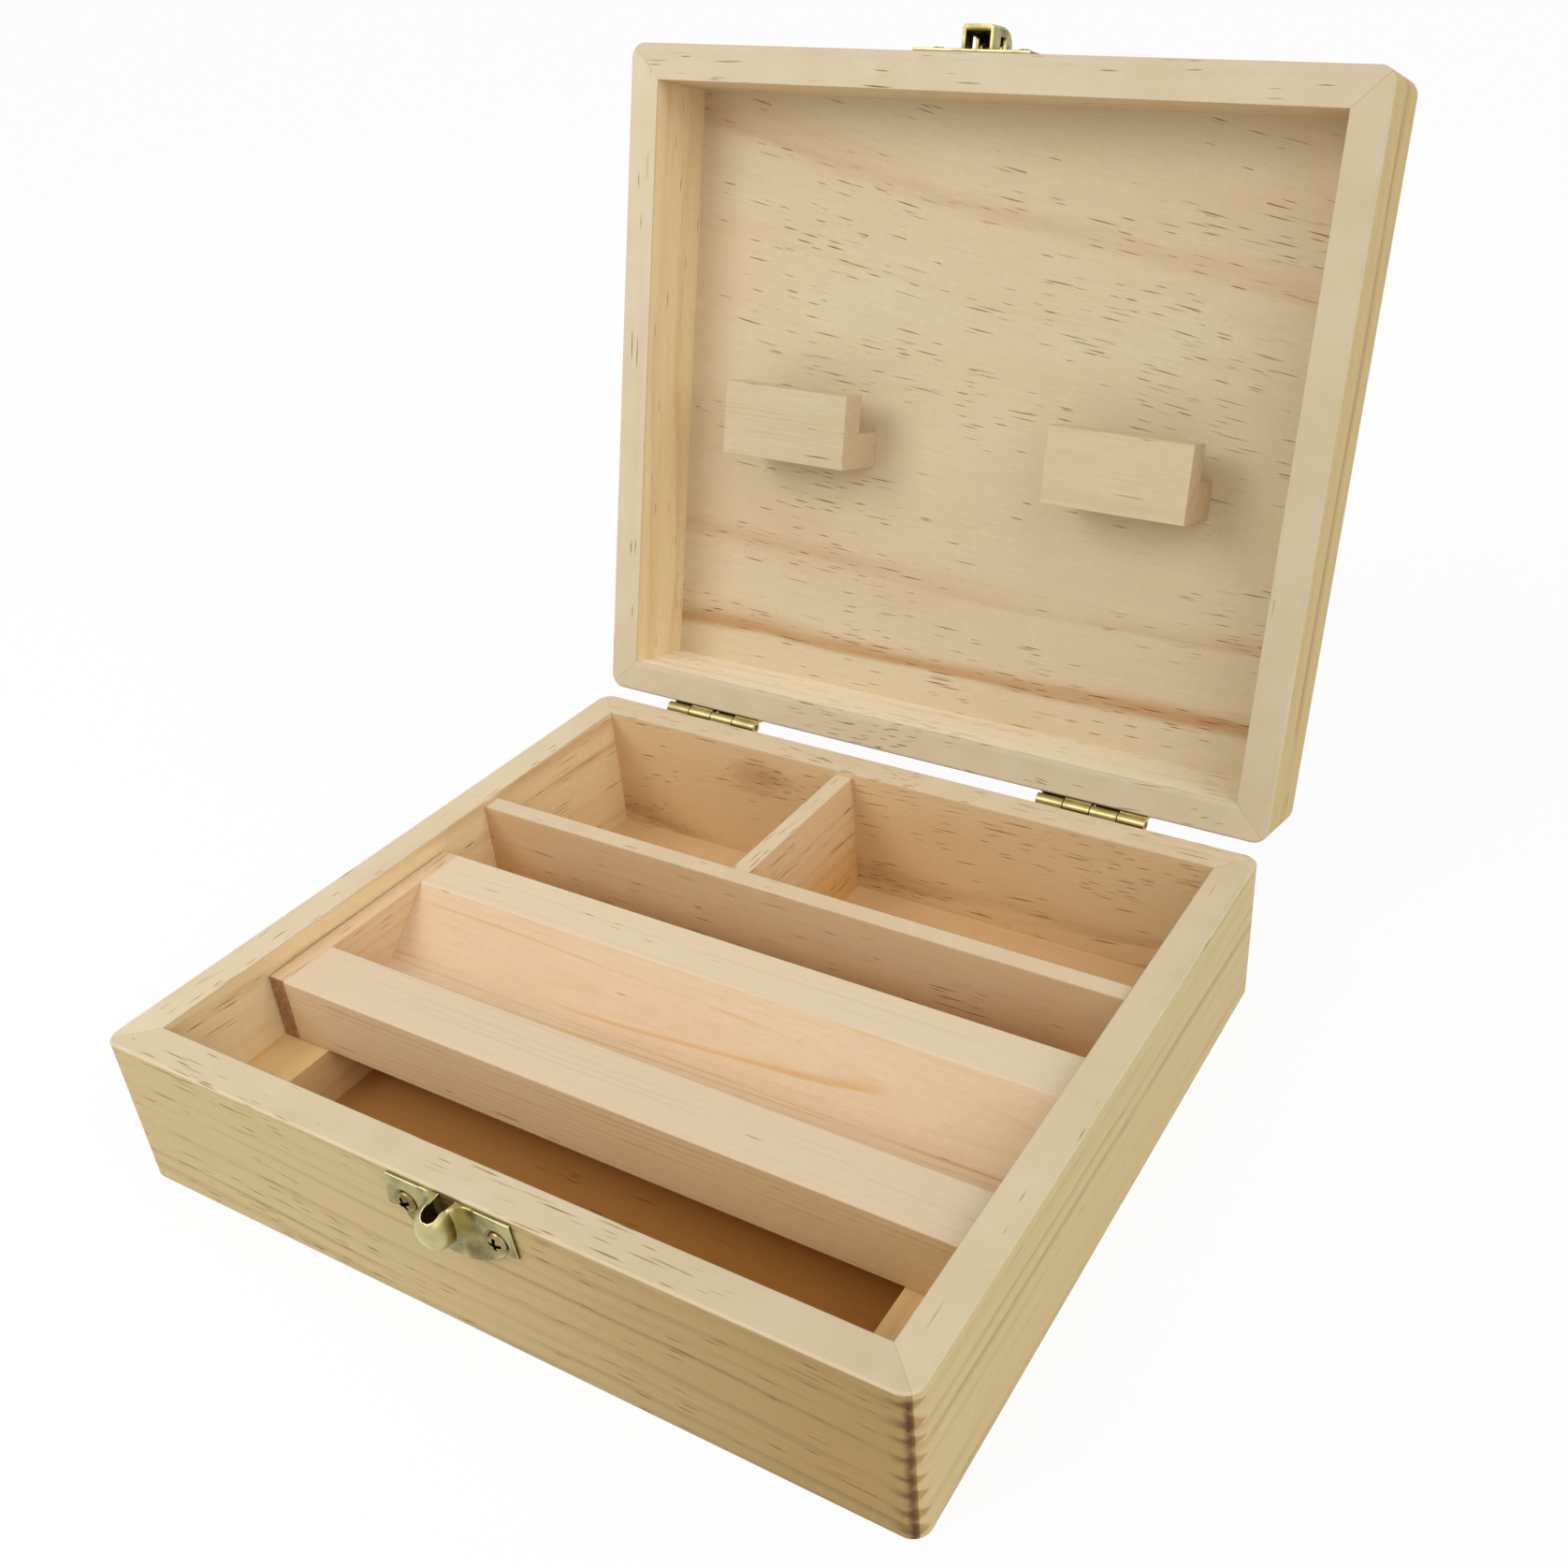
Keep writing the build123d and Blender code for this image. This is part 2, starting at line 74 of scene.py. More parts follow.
class Wire:
    """An output of a material's node, which can be reckoned with like a number."""

    def __init__(self, tree, output=None):
        self.tree = tree
        self.output = output

    def node(self, kind, settings=None, sockets=None, out=0):
        """Adds a node: first its settings, then its sockets' values or wires."""
        node = self.tree.nodes.new(kind)
        for name, value in (settings or {}).items():
            setattr(node, name, value)
        for name, value in (sockets or {}).items():
            if isinstance(value, Wire):
                self.tree.links.new(value.output, node.inputs[name])
            else:
                node.inputs[name].default_value = value
        return Wire(self.tree, node.outputs[out])

    def other(self, name):
        """Another output of the same node."""
        return Wire(self.tree, self.output.node.outputs[name])

    def reckon(self, operation, *terms):
        return self.node("ShaderNodeMath", {"operation": operation}, dict(enumerate(terms)))

    def __add__(self, other):
        return self.reckon("ADD", self, other)

    def __sub__(self, other):
        return self.reckon("SUBTRACT", self, other)

    def __rsub__(self, other):
        return self.reckon("SUBTRACT", other, self)

    def __mul__(self, other):
        return self.reckon("MULTIPLY", self, other)

    def __truediv__(self, other):
        return self.reckon("DIVIDE", self, other)

    def __pow__(self, other):
        return self.reckon("POWER", self, other)

    def __abs__(self):
        return self.reckon("ABSOLUTE", self)

    __radd__ = __add__

    def fade(self, low, high):
        """Rises softly from 0 at the low value to 1 at the high one."""
        return self.node(
            "ShaderNodeMapRange",
            {"interpolation_type": "SMOOTHSTEP"},
            {"Value": self, "From Min": low, "From Max": high},
        )

    def vector(self, x, y, z):
        return self.node("ShaderNodeCombineXYZ", None, {"X": x, "Y": y, "Z": z})

    def noise(self, x, y, z, detail=2.0, roughness=0.5):
        """Smooth noise about 0, from -0.5 to 0.5, whose grain is 1 in each of the three values."""
        place = self.vector(x, y, z)
        sockets = {"Vector": place, "Scale": 1.0, "Detail": detail, "Roughness": roughness}
        return self.node("ShaderNodeTexNoise", None, sockets) - 0.5

    def mix(self, share, first, second, way="MIX"):
        """A blend of two colours."""
        settings = {"data_type": "RGBA", "blend_type": way}
        return self.node("ShaderNodeMix", settings, {0: share, 6: first, 7: second}, out=2)

    def stain(self, share, colour, tint):
        """The colour multiplied by a tint where the share is 1, and unchanged where it is 0."""
        return self.mix(share, colour, (*tint, 1.0), "MULTIPLY")


def show_white(tree, lit, white, share, output):
    """The lens, mirrors and glass see a share of plain white; the box is lit by the rest."""
    start = Wire(tree)
    straight = start.node("ShaderNodeLightPath", out="Is Camera Ray")
    mirrored = straight.reckon("MAXIMUM", straight, straight.other("Is Glossy Ray"))
    seen = straight.reckon("MAXIMUM", mirrored, straight.other("Is Transmission Ray"))
    choice = start.node("ShaderNodeMixShader", None, {0: seen * share, 1: lit, 2: white})
    tree.links.new(choice.output, output.inputs["Surface"])


bpy.context.scene.view_settings.view_transform = "Standard"
bpy.ops.object.select_all(action="DESELECT")
bpy.ops.mesh.primitive_plane_add(size=floor_size, location=(0.0, 0.0, -floor_drop))
floor = bpy.context.object
floor.name = "table_sheet"
sheet = bpy.data.materials.new("white_sheet")
sheet.use_nodes = True
sheet_start = Wire(sheet.node_tree)
sheet_shader = Wire(sheet.node_tree, sheet.node_tree.nodes["Principled BSDF"].outputs[0])
sheet_shader.output.node.inputs["Base Color"].default_value = floor_white
sheet_shader.output.node.inputs["Roughness"].default_value = 1.0
sheet_shader.output.node.inputs["Specular IOR Level"].default_value = 0.0
sheet_glow = sheet_start.node("ShaderNodeEmission")
sheet_end = sheet.node_tree.nodes["Material Output"]
show_white(sheet.node_tree, sheet_shader, sheet_glow, floor_glow, sheet_end)
floor.data.materials.append(sheet)

room = bpy.data.worlds.new("white_room")
bpy.context.scene.world = room
room.use_nodes = True
room_light = Wire(room.node_tree, room.node_tree.nodes["Background"].outputs[0])
room_light.output.node.inputs["Color"].default_value = plain_white
room_light.output.node.inputs["Strength"].default_value = room_strength
room_seen = room_light.node("ShaderNodeBackground", None, {"Color": plain_white})
room_end = room.node_tree.nodes["World Output"]
show_white(room.node_tree, room_light, room_seen, 1.0, room_end)

bpy.ops.object.light_add(
    type="AREA",
    location=lit_middle + key_from.normalized() * key_distance,
    rotation=key_from.to_track_quat("Z", "Y").to_euler(),
)
key_lamp = bpy.context.object
key_lamp.data.size = key_width
key_lamp.data.energy = key_power
bpy.ops.object.light_add(type="SUN", rotation=fill_from.to_track_quat("Z", "Y").to_euler())
fill_lamp = bpy.context.object
fill_lamp.data.energy = fill_strength
fill_lamp.data.angle = fill_softness

bpy.ops.object.camera_add(location=camera_place, rotation=camera_turn)
camera = bpy.context.object
camera.data.lens = camera_lens
camera.data.sensor_width = camera_sensor
camera.data.shift_x, camera.data.shift_y = camera_shift
camera.data.clip_start = camera_near
bpy.context.scene.camera = camera

# Base walls. Four planed pine boards, mitred and glued at the corners, with soft arrises and with
# edges paler than their faces. The grain runs along each board, and the rounded front right corner
# is scorched dark.

MM = 0.001


def srgb(red, green, blue):
    """A colour as a picture program writes it, from 0 to 255, turned into light."""
    parts = [part / 255 for part in (red, green, blue)]
    light = [p / 12.92 if p <= 0.04045 else ((p + 0.055) / 1.055) ** 2.4 for p in parts]
    return (*light, 1.0)


lid_hinge = next(joint for joint in frame["joints"] if joint["name"] == "lid_hinge")
hinge_line = Vector(lid_hinge["pos_m"])
lid_open_angle = math.radians(lid_hinge["range_deg"][1])
lid_to_shut = Matrix.Rotation(lid_open_angle, 4, "X")


def board_place(start, swung):
    """Millimetres to the right, backwards and up, measured on the shut box."""
    sockets = {"Vector": start.node("ShaderNodeTexCoord", out="Object"), "Scale": (1 / MM,) * 3}
    if swung:
        shift = (hinge_line - lid_to_shut @ hinge_line) / MM
        sockets.update({"Rotation": (lid_open_angle, 0.0, 0.0), "Location": shift})
    place = start.node("ShaderNodeMapping", None, sockets)
    x = start.node("ShaderNodeSeparateXYZ", None, {"Vector": place}, out="X")
    return x, x.other("Y"), x.other("Z")


# Steps of the grain's noise to a millimetre: along the board, and then across it
wander_along, wander_across = 0.011, 0.02
broken_along, broken_across = 0.018, 0.12
crowd_along, crowd_across = 0.016, 0.05
fibre_along, fibre_across = 0.05, 2.4
streak_along, streak_across = 0.012, 0.5
cloud_along, cloud_across = 0.012, 0.04
mottle_each_way = 0.55

# How far the grain wanders in millimetres, and how growth rings differ and where they end
wander_sideways = 8
wander_upwards = 6
wander_roughness = 0.35
upward_field = 7.3
uneven_spell = 2.6
uneven_growth = 1.7
ring_shuffle = 13.7
late_wood_end = 0.84
faintest_ring = 0.2
broken_fade = (0.25, 0.6)
band_stray = 0.5
band_tail = 0.4
band_body = 0.95

# Resin canals: the length, width and girth of long and short ones, and how many there are
long_canals = (24.0, 1.0, 0.26)
short_canals = (10.0, 0.75, 0.3)
long_share = 0.85
short_share = 0.55
long_shuffle = 40
short_shuffle = 50
canal_core = 0.3
faintest_canal = 0.4
crowd_by_rings = 0.35
crowd_fade = (-0.12, 0.22)

# The wood's colour and surface: tints multiply it, and relief is a share of the relief's depth
streak_weight = 0.45
silk_mottle = 0.7
silk_share = 0.2
silk_fade = (-0.35, 0.35)
cloud_fade = (-0.2, 0.3)
blush_tint = (0.86, 0.60, 0.42)
silk_tint = (0.66, 0.54, 0.38)
canal_tint = (0.38, 0.21, 0.08)
pine_roughness = 0.56
fibre_roughness = 0.2
canal_roughness = 0.1
pine_shine = 0.3
arris_radius = 0.3 * MM
relief_strength = 0.3
relief_depth = 0.25 * MM
fibre_relief = 0.4
mottle_relief = 0.2
ring_relief = 0.3
canal_relief = 1.2
bevel_samples = 6


def resin_canals(start, length, across, height, long, wide, girth, share):
    """Open resin canals, seen as thin dark dashes along the grain in a share of the cells."""
    cell = start.node(
        "ShaderNodeTexVoronoi",
        {"feature": "F1"},
        {"Vector": start.vector(length / long, across / wide, height / wide), "Scale": 1.0},
        out="Distance",
    )
    chance = start.node("ShaderNodeSeparateColor", None, {"Color": cell.other("Color")}, out="Red")
    shape = 1 - cell.fade(girth * canal_core, girth)
    shown = shape * chance.reckon("LESS_THAN", chance, share)
    return shown * (chance.other("Green") * (1 - faintest_canal) + faintest_canal)


def pine(
    name, pale, dark, along, heart, ring, lean=(0.0, 0.0), fan=0.0, wave=1.0, figure=0.4,
    late_start=0.25, bands=(), dashes=0.5, blush=0.2, seed=0.0, swung=False, faces=None,
):
    """Pine cut from a round trunk: its growth rings lie about a heart line beside the board."""
    material = bpy.data.materials.new(name)
    material.use_nodes = True
    tree = material.node_tree
    shader = tree.nodes["Principled BSDF"]
    start = Wire(tree)
    x, y, z = board_place(start, swung)
    length, straight = (x, y) if along == "X" else (y, x)

    # The grain's own directions: they lean, fan out and wander slowly along the board
    slow = length * wander_along + seed
    bend = start.noise(
        slow, straight * wander_across, z * wander_across, roughness=wander_roughness
    )
    bend = bend * (wave * wander_sideways)
    across = straight + length * (straight * fan + lean[0]) + bend
    height = z + length * lean[1]
    rise = start.noise(slow, straight * wander_across + upward_field, z * wander_across)
    height = height + rise * (wave * wander_upwards)

    # Growth rings: each darkens slowly to its late wood and ends sharply, and no two are alike
    from_heart = across - heart[0]
    above_heart = height - heart[1]
    radius = (from_heart * from_heart + above_heart * above_heart) ** 0.5
    count = radius / ring
    uneven = start.noise(radius / (ring * uneven_spell), seed, 0.0, detail=1.0)
    count = count + uneven * uneven_growth
    within = count.reckon("FRACT", count)
    strength = start.node(
        "ShaderNodeTexWhiteNoise",
        {"noise_dimensions": "1D"},
        {"W": count.reckon("FLOOR", count) + seed * ring_shuffle},
    )
    late = within.fade(late_start, late_wood_end) * (1 - within.fade(late_wood_end, 1.0))
    late = late * (strength * (1 - faintest_ring) + faintest_ring)
    broken = start.noise(
        length * broken_along, straight * broken_across + seed, z * broken_across, detail=3.0
    )
    late = late * (broken + 0.5).fade(*broken_fade)
    ringed = late * figure

    # Single strong rings, where the photograph shows them
    for middle, width, depth in bands:
        strayed = across + broken * width * band_stray - middle
        band = strayed.fade(-width, 0) * (1 - strayed.fade(0, width * band_tail))
        ringed = ringed + band * (broken + band_body) * depth

    # Resin canals, longer fibres, and the silky mottle of planed pine
    crowd = start.noise(length * crowd_along + seed, straight * crowd_across, z * crowd_across)
    crowd = crowd + ringed * crowd_by_rings
    share = crowd.fade(*crowd_fade) * dashes
    dash = resin_canals(
        start, length + seed * long_shuffle, across, height, *long_canals, share * long_share
    )
    short = resin_canals(
        start, length + seed * short_shuffle, across, height, *short_canals, share * short_share
    )
    dash = dash.reckon("MAXIMUM", dash, short)
    fibre = start.noise(
        length * fibre_along, across * fibre_across, height * fibre_across + seed, detail=3.0
    )
    streak = start.noise(
        length * streak_along + seed, across * streak_across, height * streak_across,
        detail=4.0, roughness=0.6,
    )
    mottle = start.noise(
        x * mottle_each_way + seed, y * mottle_each_way, z * mottle_each_way,
        detail=4.0, roughness=0.62,
    )
    cloud = start.noise(length * cloud_along, straight * cloud_across + seed, z * cloud_across)

    figured = (ringed + streak * streak_weight).fade(0.0, 1.0)
    colour = start.mix(figured, srgb(*pale), srgb(*dark))
    blushed = start.stain(cloud.fade(*cloud_fade) * blush, colour, blush_tint)
    silk = (fibre + mottle * silk_mottle).fade(*silk_fade)
    silky = start.stain(silk * silk_share, blushed, silk_tint)
    faced = faces(start, silky, x, y, z) if faces else silky
    pored = start.stain(dash, faced, canal_tint)
    tree.links.new(pored.output, shader.inputs["Base Color"])
    rough = pine_roughness + fibre * fibre_roughness + dash * canal_roughness
    tree.links.new(rough.output, shader.inputs["Roughness"])
    soft_edge = start.node("ShaderNodeBevel", {"samples": bevel_samples}, {"Radius": arris_radius})
    raised = fibre * fibre_relief + mottle * mottle_relief - ringed * ring_relief
    relief = start.node(
        "ShaderNodeBump",
        None,
        {
            "Strength": relief_strength,
            "Distance": relief_depth,
            "Height": raised - dash * canal_relief,
            "Normal": soft_edge,
        },
    )
    tree.links.new(relief.output, shader.inputs["Normal"])
    shader.inputs["Specular IOR Level"].default_value = pine_shine
    return material


def dress(material, *names):
    """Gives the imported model's own nodes a finish."""
    for name in names:
        frame["nodes"][name].material_slots[0].material = material


base_low, base_high = (corner / MM for corner in (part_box("front_wall")[0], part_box("back_wall")[1]))
wall_thickness = (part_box("front_wall")[1].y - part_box("front_wall")[0].y) / MM
inner_x, inner_y = base_high.x - wall_thickness, base_high.y - wall_thickness


# Where a finish fades out, in millimetres before and behind an inner face or below an edge
before_face = 0.1
behind_face = 0.4
edge_full = 0.3
edge_reach = 0.75
# Painted warm shade: the tint that warms the inner faces, as in the box's shaded interior.
warm_shade_tint = (1.0, 0.86, 0.66)


def warm_shade_inside(start, colour, x, y, shade_warmth=0.25):
    """The walls' inner faces, made warmer in colour than the outside as painted warm shade."""
    within_x = 1 - abs(x).fade(inner_x - before_face, inner_x + behind_face)
    within_y = 1 - abs(y).fade(inner_y - before_face, inner_y + behind_face)
    return start.stain(within_x * within_y * shade_warmth, colour, warm_shade_tint)


edge_tones = (srgb(213, 194, 161), srgb(221, 205, 178))
bloom_tone = srgb(232, 221, 206)
edge_cover = 0.8
bloom_cover = 0.2


def pale_edge(start, colour, edge, x, y):
    """The boards' narrow edges: paler and pinker than their faces, with a light bloom in places."""
    mottled = start.noise(x * 0.07, y * 0.07, 1.7, detail=4.0, roughness=0.6).fade(-0.3, 0.3)
    tone = start.mix(mottled, *edge_tones)
    bloom = start.noise(x * 0.04, y * 0.04, 3.7, detail=3.0).fade(0.1, 0.35)
    planed = start.mix(edge * edge_cover, colour, tone)
    return start.mix(edge * bloom * bloom_cover, planed, bloom_tone)


def base_faces(start, colour, x, y, z):
    """The base's walls: painted warm shade on their inner faces, and pale top edges."""
    rim = z.fade(base_high.z - edge_reach, base_high.z - edge_full)
    return pale_edge(start, warm_shade_inside(start, colour, x, y), rim, x, y)


# The scorched corner's lengths in millimetres, and the tints of its core, teeth and front smears
tooth_pitch = 2.5
tooth_reach = 6.0
tooth_softness = 2.4
core_width = 1.8
core_shift = 0.4
smear_reach = 6.5
smear_end = 0.6
raggedness = 1.5
below_rim_full = 2.4
below_rim_none = 0.9
core_tint = (0.32, 0.17, 0.06)
tooth_tint = (0.62, 0.43, 0.25)
tooth_cover = 0.75
smear_tint = (0.40, 0.27, 0.14)
smear_cover = 0.9


def scorched_faces(start, colour, x, y, z):
    """The same, with dark end grain in teeth down the rounded front right corner."""
    ragged = start.noise(x * 0.3, y * 0.3, z * 0.4, detail=3.0) * raggedness
    turn = (y - base_low.y) - (base_high.x - x) + ragged
    row = z / tooth_pitch + start.noise(z * 0.14, 0.0, 4.0) * 2.4
    tooth = row.reckon("PINGPONG", row, 1.0)
    below_rim = 1 - z.fade(base_high.z - below_rim_full, base_high.z - below_rim_none)
    uneven = start.noise(2.0, 5.0, z * 0.14).fade(-0.3, 0.2) * 0.5 + 0.5
    core = 1 - abs(turn + core_shift - tooth * 0.6).fade(0.1, core_width)
    core = core * (tooth * 0.15 + 0.85)
    smear = turn.fade(-smear_reach, -smear_end) * (1 - turn.fade(-smear_end, smear_end))
    smear = smear * tooth.fade(0.35, 1.0)
    side_tooth = (tooth * tooth_reach - turn).fade(0.0, tooth_softness) * turn.fade(-0.8, 0.2)
    smeared = start.stain(smear * smear_cover * below_rim, colour, smear_tint)
    toothed = start.stain(side_tooth * tooth_cover * below_rim, smeared, tooth_tint)
    scorched = start.stain(core * uneven * below_rim, toothed, core_tint)
    return base_faces(start, scorched, x, y, z)


# Painted shade on the front board: where it browns, and its shadow about the clasp's middle and top
clasp_low, clasp_high = (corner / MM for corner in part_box("catch_plate"))
clasp_middle = (clasp_low.x + clasp_high.x) / 2
falloff_shade_from = -45.0
falloff_shade_full = 110.0
# Painted shade: the front board browns to the right, where the light falls off.
falloff_shade_tint = (0.68, 0.59, 0.40)
patch_half_width = 2.0
patch_reach = 4.5
patch_top = 7.0
patch_bottom = 9.0
# Painted shadow: the wall is darkened behind the catch's open nose.
hollow_shadow_tint = (0.42, 0.34, 0.20)


def shaded_to_the_right(start, colour, x, y, z):
    """The front board, browner to the right and darker behind the catch's open nose: painted shade."""
    shade_browned = start.stain(x.fade(falloff_shade_from, falloff_shade_full), colour, falloff_shade_tint)
    patch = 1 - abs(x - clasp_middle).fade(patch_half_width, patch_reach)
    patch = patch * z.fade(clasp_high.z - patch_bottom, clasp_high.z - patch_top)
    patch = patch * (1 - y.fade(base_low.y + 0.3, base_low.y + 0.9))
    hollow_shadowed = start.stain(patch, shade_browned, hollow_shadow_tint)
    return scorched_faces(start, hollow_shadowed, x, y, z)


dress(
    pine(
        "pine_front_wall", (196, 175, 126), (142, 114, 68), "X", (-30.0, -190.0), 4.3,
        lean=(0.0, 0.02), wave=0.8, figure=0.5, dashes=1.35, blush=0.12, seed=1.0,
        faces=shaded_to_the_right,
    ),
    "front_wall",
)
dress(
    pine(
        "pine_right_wall", (202, 181, 131), (166, 138, 88), "Y", (60.0, -160.0), 5.9,
        lean=(0.0, 0.02), wave=0.7, figure=0.85, dashes=0.12, blush=0.1, seed=2.4,
        faces=scorched_faces,
    ),
    "right_wall",
)
dress(
    pine(
        "pine_back_wall", (226, 202, 158), (166, 122, 74), "X", (10.0, 30.0), 5.2,
        lean=(0.0, -0.05), wave=1.6, figure=0.55, dashes=1.8, blush=0.25, seed=3.3,
        faces=base_faces,
    ),
    "back_wall",
)
dress(
    pine(
        "pine_left_wall", (238, 216, 170), (190, 146, 90), "Y", (-60.0, -90.0), 6.8,
        lean=(0.0, 0.05), wave=0.9, figure=0.6, dashes=0.5, blush=0.2, seed=4.1,
        faces=base_faces,
    ),
    "left_wall",
)

# Bottom board. A thin wide pine board let into a rabbet under the four walls and glued there. It
# is darker and redder under the tray, as painted shadow.

long_divider_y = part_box("long_divider")[0].y / MM
shade_before_divider = 6.0
shade_past_divider = 4.0
# Painted shadow: tints that darken and redden the bottom under the tray, more to the right.
under_tray_shade_tint = (0.72, 0.52, 0.29)
right_shade_tint = (0.92, 0.80, 0.56)


def shaded_under_tray(start, colour, x, y, z):
    """The board darkens and reddens in front of the long divider as painted shadow, more to the right.
    """
    front = 1 - y.fade(long_divider_y - shade_before_divider, long_divider_y + shade_past_divider)
    under_tray_shaded = start.stain(front, colour, under_tray_shade_tint)
    return start.stain(front * x.fade(-60.0, 80.0), under_tray_shaded, right_shade_tint)


dress(
    pine(
        "pine_bottom_board", (224, 190, 142), (186, 138, 84), "X", (0.0, 46.0), 7.0,
        figure=0.35, dashes=0.4, blush=0.3, seed=5.2, faces=shaded_under_tray,
    ),
    "bottom_panel",
)

# Dividers. Two thin boards stand on the bottom: a long one across the box, and a short one glued
# between it and the back wall. Their top edges are pale like the walls'.

divider_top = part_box("long_divider")[1].z / MM
# Painted shade: the dividers are browned towards the bottom.
divider_shade_tint = (0.94, 0.80, 0.52)
shaded_below = (8.0, 30.0)


def divider_faces(start, colour, x, y, z):
    """The dividers, browner towards the bottom as painted shade, and pale on their top edges."""
    shade_browned = start.stain(1 - z.fade(*shaded_below), colour, divider_shade_tint)
    return pale_edge(start, shade_browned, z.fade(divider_top - 0.6, divider_top - 0.2), x, y)


dress(
    pine(
        "pine_long_divider", (222, 190, 146), (180, 130, 80), "X", (20.0, -60.0), 3.6,
        figure=0.35, dashes=0.6, blush=0.5, seed=6.7, faces=divider_faces,
    ),
    "long_divider",
)
dress(
    pine(
        "pine_short_divider", (228, 200, 158), (186, 140, 90), "Y", (-20.0, -50.0), 4.8,
        wave=1.4, figure=0.4, dashes=1.3, blush=0.2, seed=7.9, faces=divider_faces,
    ),
    "short_divider",
)

# Ledges. Two square sticks glued to the side walls at the bottom, on which the tray lies.

dress(
    pine(
        "pine_ledges", (230, 198, 142), (198, 150, 92), "Y", (-40.0, -40.0), 5.2,
        wave=0.5, figure=0.4, dashes=0.25, blush=0.2, seed=8.3,
    ),
    "left_ledge",
    "right_ledge",
)

# Tray. A loose tray of four glued pieces: a square front rail and a low floor, a wedge that slopes
# down to the floor, and an end board on the left. Its right end is open.

end_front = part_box("tray_end_board")[0].y / MM
end_grain_tint = (0.38, 0.22, 0.14)
end_grain_cover = 0.75


def dark_end_grain(start, colour, x, y, z):
    """The end board's front end, where its fibres are cut across and show dark."""
    end = 1 - y.fade(end_front + 0.05, end_front + 0.4)
    speck = start.noise(x * 1.2, y, z * 0.5, detail=4.0)
    return start.stain(end * (end_grain_cover + speck), colour, end_grain_tint)


rail_front_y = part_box("tray_front_rail")[0].y / MM
rail_top_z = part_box("tray_front_rail")[1].z / MM
tray_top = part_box("tray_wedge")[1].z / MM
# Painted shade: the rail's front is browned towards the right.
rail_shade_tint = (1.0, 0.93, 0.76)
rail_top_tone = srgb(214, 198, 176)
rail_top_cover = 0.55


def rail_faces(start, colour, x, y, z):
    """The rail's top, which is paler, and its front, browner to the right as painted shade."""
    front = 1 - y.fade(rail_front_y + 0.2, rail_front_y + 1.0)
    shade_browned = start.stain(front * x.fade(-90.0, 90.0), colour, rail_shade_tint)
    top = z.fade(rail_top_z - 0.6, rail_top_z - 0.2)
    return start.mix(top * rail_top_cover, shade_browned, rail_top_tone)


dress(
    pine(
        "pine_tray_rail", (229, 204, 166), (194, 150, 100), "X", (-160.0, -90.0), 1.3,
        wave=0.3, figure=0.5, dashes=0.12, blush=0.2, seed=9.6, faces=rail_faces,
    ),
    "tray_front_rail",
)


# Painted light: the wedge's level top is mixed paler than its slope, which is darkened.
wedge_top_lit_tone = srgb(226, 210, 184)
wedge_top_lit_cover = 0.7
# The top is darkened and browned in noisy patches towards its left end.
left_end_tint = (0.82, 0.68, 0.46)
left_end_cover = 0.5


def wedge_faces(start, colour, x, y, z):
    """The wedge's top, paler than its slope as painted light, and darker in patches to the left."""
    top = z.fade(tray_top - 0.5, tray_top - 0.1)
    left_patches = start.noise(x * 0.05, y * 0.12, 1.4, detail=3.0).fade(0.05, 0.3)
    left_patches = left_patches * (1 - x.fade(-80.0, -10.0))
    top_lit = start.mix(top * wedge_top_lit_cover, colour, wedge_top_lit_tone)
    return start.stain(left_patches * top * left_end_cover, top_lit, left_end_tint)


dress(
    pine(
        "pine_tray_wedge", (223, 197, 162), (214, 166, 98), "X", (-10.6, 23.3), 1.9,
        lean=(-0.032, 0.032), wave=0.4, figure=1.0, late_start=0.45, dashes=0.06, blush=0.2,
        seed=10.2, faces=wedge_faces,
    ),
    "tray_wedge",
    "tray_floor",
)
dress(
    pine(
        "pine_tray_end", (226, 198, 160), (186, 138, 92), "Y", (-60.0, -50.0), 3.2,
        figure=0.3, dashes=0.7, blush=0.25, seed=11.4, faces=dark_end_grain,
    ),
    "tray_end_board",
)

# Lid walls. Four lower boards, mitred and glued like the base's, with their top outer edge rounded
# over. Their lower edges show as the pale rim of the open lid.

lid_seam = 0.2
lid_rim_shut = base_high.z + lid_seam
# A little painted warm shade on the lid walls' inner faces.
lid_shade_warmth = 0.05
lid_rim_tint = (0.92, 0.92, 0.92)
# This tint takes the back board's painted light back off its outer face.
painted_light_undone_tint = (0.80, 0.72, 0.58)


def lid_faces(start, colour, x, y, z):
    """The lid's walls: a little painted warm shade on their inner faces, and pale lower edges."""
    rim = 1 - z.fade(lid_rim_shut + edge_full, lid_rim_shut + edge_reach)
    edged = pale_edge(start, warm_shade_inside(start, colour, x, y, lid_shade_warmth), rim, x, y)
    return start.stain(rim, edged, lid_rim_tint)


def lid_back_lit_faces(start, colour, x, y, z):
    """The same for the back board, raised as painted light inside and brought back down outside."""
    outer = start.stain(y.fade(inner_y + 1.0, inner_y + 1.6), colour, painted_light_undone_tint)
    return lid_faces(start, outer, x, y, z)


dress(
    pine(
        "pine_lid_front_wall", (218, 200, 164), (176, 138, 90), "X", (30.0, 150.0), 4.6,
        figure=0.35, dashes=0.6, blush=0.15, seed=12.1, swung=True, faces=lid_faces,
    ),
    "lid_front_wall",
)
dress(
    pine(
        "pine_lid_right_wall", (198, 173, 116), (168, 134, 74), "Y", (70.0, 150.0), 6.6,
        lean=(0.0, 0.012), wave=0.6, figure=0.9, dashes=0.12, blush=0.1, seed=13.6, swung=True,
        faces=lid_faces,
    ),
    "lid_right_wall",
)
